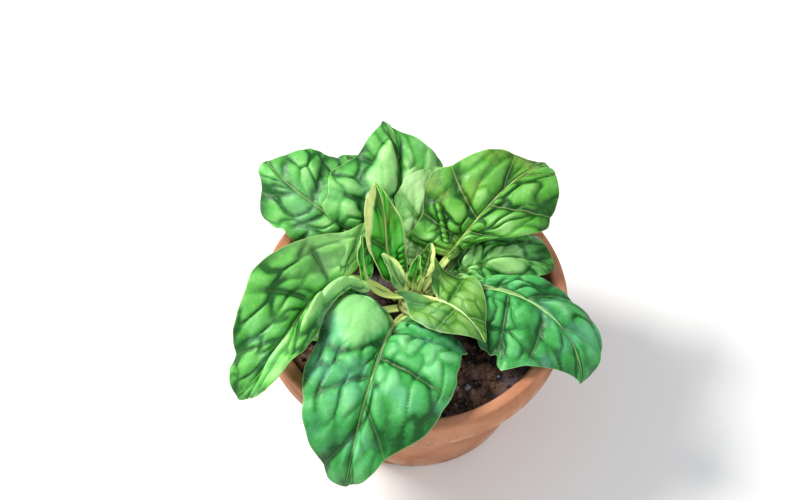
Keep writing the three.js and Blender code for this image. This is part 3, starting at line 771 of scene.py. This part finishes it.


# The first green of each is the painted shade in the creases, and light is the painted highlight
# on the tops and the paler foot.
GREENS = dict(
    blade_blue_green=dict(
        crease_shade=(0.004, 0.08, 0.01), middle=(0.04, 0.33, 0.06), light=(0.2, 0.6, 0.24),
        touch=(0.13, 0.47, 0.26), vein=(0.4, 0.66, 0.25), rib_show=0.85),
    blade_green=dict(
        crease_shade=(0.006, 0.085, 0.01), middle=(0.09, 0.39, 0.065), light=(0.36, 0.69, 0.25),
        touch=(0.22, 0.53, 0.24), vein=(0.42, 0.64, 0.2), vein_show=0.06, rib_show=0.4),
    blade_light_green=dict(
        crease_shade=(0.006, 0.09, 0.008), middle=(0.1, 0.42, 0.06), light=(0.42, 0.82, 0.28),
        touch=(0.22, 0.6, 0.3), vein=(0.42, 0.66, 0.2), vein_show=0.06, foot=0.75, rib_show=0.4),
    blade_warm_green=dict(
        crease_shade=(0.006, 0.07, 0.003), middle=(0.09, 0.36, 0.035), light=(0.34, 0.65, 0.22),
        touch=(0.28, 0.5, 0.07), vein=(0.55, 0.74, 0.25), vein_show=0.24),
    young_blade=dict(
        crease_shade=(0.02, 0.13, 0.006), middle=(0.1, 0.27, 0.03), light=(0.23, 0.45, 0.12),
        touch=(0.15, 0.42, 0.2), vein=(0.5, 0.7, 0.3), vein_show=0.24, edge=0.95),
    young_dark_blade=dict(
        crease_shade=(0.008, 0.12, 0.004), middle=(0.05, 0.5, 0.03), light=(0.25, 0.72, 0.2),
        touch=(0.16, 0.34, 0.02), vein=(0.62, 0.78, 0.3), edge=0.9),
    pale_blade=dict(
        crease_shade=(0.1, 0.32, 0.06), middle=(0.3, 0.58, 0.2), light=(0.46, 0.74, 0.33),
        touch=(0.36, 0.52, 0.26), vein=(0.5, 0.7, 0.33)),
)
skins = {name: leaf_material(name, **greens) for name, greens in GREENS.items()}
print("leaf materials:", len(skins))

# %% Make the leaves
for node, leaf in leaves.items():
    piece = make_leaf(node, leaf, skins[leaf["coat"]])
    print(node, "faces:", len(piece.data.polygons))

# %% [markdown]
# ## Soil
# Moist potting soil is a mass of crumbs of all sizes. The body is the same turned shape as its
# solid, with three sizes of noise on its surface. Loose crumbs lie on it: each is one small
# ball of 80 faces, squashed and dented by its own draws, and sunk by a third.


# %% Turned pieces
def turned_faces(rings, sides):
    """Squares between rings of points, and triangles from the first and last ring to a pole."""
    number = np.arange(rings * sides).reshape(rings, sides)
    after = np.roll(number, -1, axis=1)
    squares = np.stack([number[:-1], after[:-1], after[1:], number[1:]], axis=-1).reshape(-1, 4)
    first, last = rings * sides, rings * sides + 1
    bottom = np.stack([after[0], number[0], np.full(sides, first)], axis=-1)
    top = np.stack([number[-1], after[-1], np.full(sides, last)], axis=-1)
    return [squares, np.concatenate([bottom, top])]


def turn(profile, sides):
    """A profile of (radius, height) points, without its two ends on the axis, as rings."""
    angle = np.arange(sides) * 2 * np.pi / sides
    radius, height = np.asarray(profile, dtype=float).T
    x, y = radius[:, None] * np.cos(angle), radius[:, None] * np.sin(angle)
    return np.stack([x, y, height[:, None] + 0 * x], axis=-1)


def pushed_out(rings, amount):
    """The rings with each point moved away from the axis by its own amount."""
    x, y, z = np.moveaxis(rings, -1, 0)
    push = 1 + amount / np.hypot(x, y)
    return np.stack([x * push, y * push, z], axis=-1)


def turned_object(name, rings, bottom, top, material):
    """A closed piece from rings of points in millimetres and the heights of its two poles."""
    points = np.concatenate([rings.reshape(-1, 3), [[0, 0, bottom], [0, 0, top]]]) * MM
    return mesh_object(name, points, turned_faces(*rings.shape[:2]), material)


# %% Soil material
soil_skin, tree, shader = new_material("moist_soil", 0.9, Specular_IOR_Level=0.25)
lumps, specks = grain(tree, 70, 4, 0.6), grain(tree, 420, 3, 0.6)
colour = painted(
    (0.009, 0.004, 0.003), (band(lumps, 0.4, 0.62), (0.15, 0.08, 0.055)),
    (band(grain(tree, 28, 2), 0.5, 0.65, 0, 0.65), (0.11, 0.11, 0.135)),
    (band(grain(tree, 45, 3), 0.62, 0.72, 0, 0.6), (0.2, 0.075, 0.035)),
    (band(specks, 0.6, 0.75, 0, 0.5), (0.3, 0.25, 0.2)))
dress(tree, shader, colour, reckon("ADD", specks, lumps), 0.0015, 0.8)
print("soil material ready")

# %% Make the soil
POT_HEIGHT, RIM_RADIUS, RIM_STEP, BASE_RADIUS = 130.0, 125.0, 4.0, 88.0
WALL, FLOOR, GAP = 7.0, 10.0, 0.3
SOIL_LUMP, SOIL_SETTLED, SOIL_DIP = 1.6, 2.0, 2.5
ROOT_DEPTH, ROOT_TIP_ROOM, NECK_RADIUS = 70.0, 3.0, 8.0


def body_radius(height):
    """The pot's outer wall leans out evenly from the base to the rim."""
    return mix(BASE_RADIUS, RIM_RADIUS - RIM_STEP, height / POT_HEIGHT)


wall_radius = body_radius(SOIL_TOP - SOIL_SETTLED) - WALL - GAP
hole_radius = NECK_RADIUS + GAP


def soil_height(x, y):
    """The solid's lumps, which settle to the wall and the crown, and three sizes of crumbs."""
    radius, angle = np.hypot(x, y), np.arctan2(y, x)
    out = held((radius - hole_radius) / (wall_radius - hole_radius))
    first = np.sin(0.11 * radius + 5 * angle + 0.6) * np.cos(0.07 * radius - 3 * angle)
    lump = SOIL_LUMP * (first + 0.6 * np.sin(0.23 * radius - 8 * angle + 1.9))
    crumb = sum(size * smooth_noise(x / width + 32, y / width + 32, seed)
                for size, width, seed in ((1.0, 11, 301), (0.8, 5, 302), (0.45, 2.2, 303)))
    rough = (lump + crumb) * bulge(out) ** 0.5
    return SOIL_TOP + rough - SOIL_DIP * (1 - out) ** 6 - SOIL_SETTLED * out**3


SOIL_SIDES, SOIL_RINGS = 320, 110
bottom = FLOOR + GAP
floor_radius = body_radius(bottom) - WALL - GAP
top_rings = np.linspace(wall_radius, hole_radius, SOIL_RINGS)
hole_tip = SOIL_TOP - ROOT_DEPTH - ROOT_TIP_ROOM
profile = [(floor_radius * share, bottom) for share in (0.3, 0.7, 0.98, 1)]
profile += [(mix(floor_radius, wall_radius, t), mix(bottom, SOIL_TOP - SOIL_SETTLED, t))
            for t in (0.02, 0.35, 0.7, 0.98)]
wall_rings = len(profile)
profile += [(radius, SOIL_TOP) for radius in top_rings]
profile += [(hole_radius * t, mix(hole_tip, SOIL_TOP - SOIL_DIP, t)) for t in (0.9, 0.6, 0.3)]
rings = turn(profile, SOIL_SIDES)
top = slice(wall_rings, wall_rings + top_rings.size)
rings[top, :, 2] = soil_height(rings[top, :, 0], rings[top, :, 1])
soil = turned_object("fine_soil", rings, bottom, hole_tip, soil_skin)
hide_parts("soil")
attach(soil, "root")
print("soil faces:", len(soil.data.polygons))

# %% Crumb material
crumb_skin, tree, shader = new_material("soil_crumbs", 0.92, Specular_IOR_Level=0.25)
tone = attribute(tree, "tone")
colour = painted(
    (0.012, 0.006, 0.004), (band(tone, 0.0, 0.7), (0.17, 0.1, 0.07)),
    (band(tone, 0.78, 0.82), (0.17, 0.17, 0.2)),
    (band(tone, 0.92, 0.94), (0.24, 0.09, 0.045)),
    (band(grain(tree, 500, 3), 0.45, 0.75, 0, 0.45), (0.02, 0.014, 0.011)))
dress(tree, shader, colour, grain(tree, 700, 3), 0.001, 0.7)
print("crumb material ready")

# %% Scatter the crumbs
CRUMBS = 1100
CRUMB_SIZE, CRUMB_GROWTH, CRUMB_DENT, CRUMB_SUNK = 0.7, 2.6, 0.22, 0.25
rng = np.random.default_rng(71)
golden = (1 + 5**0.5) / 2
corner = np.array([np.roll((a, b, 0), k)
                   for k in range(3) for b in (golden, -golden) for a in (-1, 1)])
trios = np.array(list(itertools.combinations(range(12), 3)))
trios = trios[np.linalg.norm(corner[trios].sum(axis=1), axis=1) > 4]  # the 20 that are faces
face = np.where(np.linalg.det(corner[trios])[:, None] > 0, trios, trios[:, ::-1])


def split_ball(corner, face):
    """Every triangle of a ball split into four, with the new corners pushed out to the ball."""
    pairs = np.sort(np.concatenate([face[:, [0, 1]], face[:, [1, 2]], face[:, [2, 0]]]), axis=1)
    edges, place = np.unique(pairs, axis=0, return_inverse=True)
    a, b, c = place.reshape(3, -1) + len(corner)
    corner = unit(np.concatenate([unit(corner), corner[edges].mean(axis=1)]))
    i, j, k = face.T
    rows = [(i, a, c), (j, b, a), (k, c, b), (a, b, c)]
    return corner, np.concatenate([np.stack(row, axis=-1) for row in rows])


ball, ball_faces = split_ball(corner, face)
radius = mix(hole_radius + 6, wall_radius - 3, np.sqrt(rng.random(CRUMBS)))
angle = rng.random(CRUMBS) * 2 * np.pi
x, y = radius * np.cos(angle), radius * np.sin(angle)
size = CRUMB_SIZE + CRUMB_GROWTH * rng.random(CRUMBS) ** 3
stretch = size[:, None] * rng.uniform(0.7, 1.15, (CRUMBS, 3)) * [1, 1, 0.75]
yaw = rng.random(CRUMBS)[:, None] * 2 * np.pi
dent = 1 + CRUMB_DENT * rng.standard_normal((CRUMBS, len(ball))).clip(-1.5, 1.5)
shape = ball[None] * dent[..., None] * stretch[:, None, :]
spun = (shape[..., 0] + 1j * shape[..., 1]) * np.exp(1j * yaw)
place = np.stack([x, y, soil_height(x, y) + CRUMB_SUNK * size], axis=-1)
points = np.stack([spun.real, spun.imag, shape[..., 2]], axis=-1) + place[:, None, :]
numbers = ball_faces[None] + len(ball) * np.arange(CRUMBS)[:, None, None]
points, numbers = points.reshape(-1, 3) * MM, numbers.reshape(-1, 3)
crumbs = mesh_object("soil_crumbs", points, numbers, crumb_skin)
add_values(crumbs, "tone", np.repeat(rng.random(CRUMBS), len(ball)))
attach(crumbs, "root")
print("crumbs:", CRUMBS, "faces:", len(crumbs.data.polygons))

# %% [markdown]
# ## Pot
# The photo shows no pot, so this is the plainest kind: a hand-finished clay half pot. Its profile
# is turned, with every edge rounded, faint rings from the throwing and a rim that isn't quite
# true. The drain holes are cut with booleans, and merging the points that then lie together
# leaves no slivers. Old clay has pale mineral bloom where water dries out of it, at the foot and
# under the rim.

# %% Clay material
BLOOM_LEVEL = 0.103
clay, tree, shader = new_material("fired_clay", 0.85, Specular_IOR_Level=0.25)
level = parts_of(add_node(tree, "TexCoord").outputs["Object"])[2]
broad, fine = grain(tree, 22, 4, 0.6), grain(tree, 600, 3, 0.6)
from_rim = reckon("ABSOLUTE", reckon("SUBTRACT", level, BLOOM_LEVEL))
bloom = reckon("MAXIMUM", band(level, 0.0, 0.035, 1.0, 0.0), band(from_rim, 0.0, 0.02, 0.7, 0.0))
patches = band(grain(tree, 48, 5, 0.65), 0.42, 0.66, 0.0, 0.6)
colour = painted(
    (0.4, 0.16, 0.08), (band(broad, 0.3, 0.7), (0.56, 0.26, 0.15)),
    (band(fine, 0.55, 0.75, 0, 0.35), (0.3, 0.12, 0.065)),
    (reckon("MULTIPLY", bloom, patches), (0.72, 0.6, 0.5)))
height = reckon("MULTIPLY_ADD", grain(tree, 120, 3), 2.0, fine)
dress(tree, shader, colour, height, 0.0005, 0.6)
print("clay material ready")

# %% Make the pot
RIM_BAND, EDGE, POT_CURVE, POT_STEP = 27.0, 2.0, 1.6, 4.0
DRAIN_RADIUS, DRAIN_RING, DRAIN_HOLES, DRAIN_SIDES = 7.0, 48.0, 3, 32
RING_MARK, WOBBLE, POT_SIDES = 0.16, 0.25, 192


def rounded(profile, radius, steps=5):
    """A profile with each inner corner replaced by a curve that starts and ends that far from
    it, or a third of the way to the next corner."""
    points = np.asarray(profile, dtype=float)
    line = [points[0]]
    for before, here, after in zip(points, points[1:], points[2:]):
        ends = [here + (other - here) * min(radius / np.linalg.norm(other - here), 0.33)
                for other in (before, after)]
        for t in np.linspace(0, 1, steps):
            line.append((1 - t) ** 2 * ends[0] + 2 * t * (1 - t) * here + t**2 * ends[1])
    return np.array(line + [points[-1]])


def with_steps(profile, longest):
    """The profile with points added, so that no stretch is longer than that."""
    line = [profile[:1]]
    for a, b in zip(profile, profile[1:]):
        count = max(1, math.ceil(np.linalg.norm(b - a) / longest))
        line.append(a + (b - a) * np.arange(1, count + 1)[:, None] / count)
    return np.concatenate(line)


band_foot = POT_HEIGHT - RIM_BAND
inner_radius = lambda height: body_radius(height) - WALL
corners = [
    (10, 0), (BASE_RADIUS - EDGE, 0), (body_radius(EDGE), EDGE),
    (body_radius(band_foot), band_foot), (RIM_RADIUS - EDGE / 2, band_foot),
    (RIM_RADIUS, band_foot + EDGE), (RIM_RADIUS, POT_HEIGHT - EDGE),
    (RIM_RADIUS - EDGE, POT_HEIGHT), (inner_radius(POT_HEIGHT) + EDGE, POT_HEIGHT),
    (inner_radius(POT_HEIGHT - EDGE), POT_HEIGHT - EDGE), (inner_radius(FLOOR), FLOOR),
    (10, FLOOR),
]
rings = turn(with_steps(rounded(corners, POT_CURVE), POT_STEP), POT_SIDES)
x, y, z = np.moveaxis(rings, -1, 0)
angle = np.arctan2(y, x)
standing = held((z - EDGE) / 4) * (np.hypot(x, y) > inner_radius(z) + WALL / 2)
marks = RING_MARK * np.sin(0.9 * z + 0.4 * np.sin(angle)) * smooth_noise(z / 9, 0 * z + 4, 411)
wobble = -WOBBLE + WOBBLE * np.sin(2 * angle + 0.7) * held(z / POT_HEIGHT)
rings = pushed_out(rings, standing * (marks + wobble))
pot = turned_object("fine_pot", rings, 0.0, FLOOR, clay)

for hole in range(DRAIN_HOLES):
    angle = math.pi / 2 + hole * 2 * math.pi / DRAIN_HOLES
    tube = turn([(DRAIN_RADIUS, -2.0 * FLOOR), (DRAIN_RADIUS, 2.0 * FLOOR)], DRAIN_SIDES)
    tube = tube + [DRAIN_RING * math.cos(angle), DRAIN_RING * math.sin(angle), 0]
    points = np.concatenate([tube.reshape(-1, 3), tube.mean(axis=1)]) * MM
    drill = mesh_object("drill", points, turned_faces(2, DRAIN_SIDES))
    cut = pot.modifiers.new("drain", "BOOLEAN")
    cut.object, cut.operation, cut.solver = drill, "DIFFERENCE", "EXACT"
    view = bpy.context.evaluated_depsgraph_get()
    view.update()
    drilled = bpy.data.meshes.new_from_object(pot.evaluated_get(view))
    pot.modifiers.clear()
    pot.data = drilled
    bpy.data.objects.remove(drill)
shell = bmesh.new()
shell.from_mesh(pot.data)
bmesh.ops.remove_doubles(shell, verts=shell.verts, dist=0.01 * MM)
shell.to_mesh(pot.data)
shell.free()
pot.data.set_sharp_from_angle(angle=math.radians(35))
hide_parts("pot")
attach(pot, "root")
print("pot faces:", len(pot.data.polygons))

# %% [markdown]
# ## Crown and tap root
# All the stalks start on a short stem, the crown, and below it the pale tap root runs down into
# the soil. The crown steps in at each whorl of stalks. Only its top shows between the stalks, but
# the root is finished too, with the fine rings that such a root has.

# %% Make the crown and the root
CROWN_TOP, SEAT, LEDGE, POLE_RADIUS = 16.6, 1.05, 0.7, 0.6
CROWN_SIDES, CROWN_CURVE, CROWN_STEP = 72, 0.6, 1.2
root_skin, tree, shader = new_material(
    "root_skin", 0.6, Subsurface_Weight=0.15, Subsurface_Scale=0.002)
level = parts_of(add_node(tree, "TexCoord").outputs["Object"])[2]
rings_noise = grain(tree, 160, 4, 0.6)
colour = painted(
    (0.6, 0.5, 0.34), (band(level, 0.104, 0.121), (0.42, 0.5, 0.17)),
    (band(rings_noise, 0.45, 0.75, 0, 0.6), (0.24, 0.12, 0.06)))
dress(tree, shader, colour, rings_noise, 0.0008, 0.6)

steps = [(NECK_RADIUS, 0.0)]
for i, (radius, height) in enumerate(WHORLS):
    below = WHORLS[i - 1][1] + LEDGE if i else WHORLS[0][1] - KEEL - 1
    steps += [(radius - SEAT, below), (radius - SEAT, height + LEDGE)]
corners = [(POLE_RADIUS, -ROOT_DEPTH + 0.8), *steps, (POLE_RADIUS, CROWN_TOP - 0.1)]
rings = turn(with_steps(rounded(corners, CROWN_CURVE, 4), CROWN_STEP), CROWN_SIDES)
x, y, z = np.moveaxis(rings, -1, 0)
in_ground = held(-z / 6) * held((z + ROOT_DEPTH) / 8)
wrinkle = 0.22 * smooth_noise(z / 1.3 + 20, 2 * np.sin(np.arctan2(y, x)) + 9, 511) - 0.12
rings = pushed_out(rings, in_ground * wrinkle) + [0, 0, SOIL_TOP]
crown = turned_object(
    "fine_crown_and_root", rings, SOIL_TOP - ROOT_DEPTH, SOIL_TOP + CROWN_TOP, root_skin)
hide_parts("crown_and_tap_root")
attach(crown, "root")
print("crown faces:", len(crown.data.polygons))
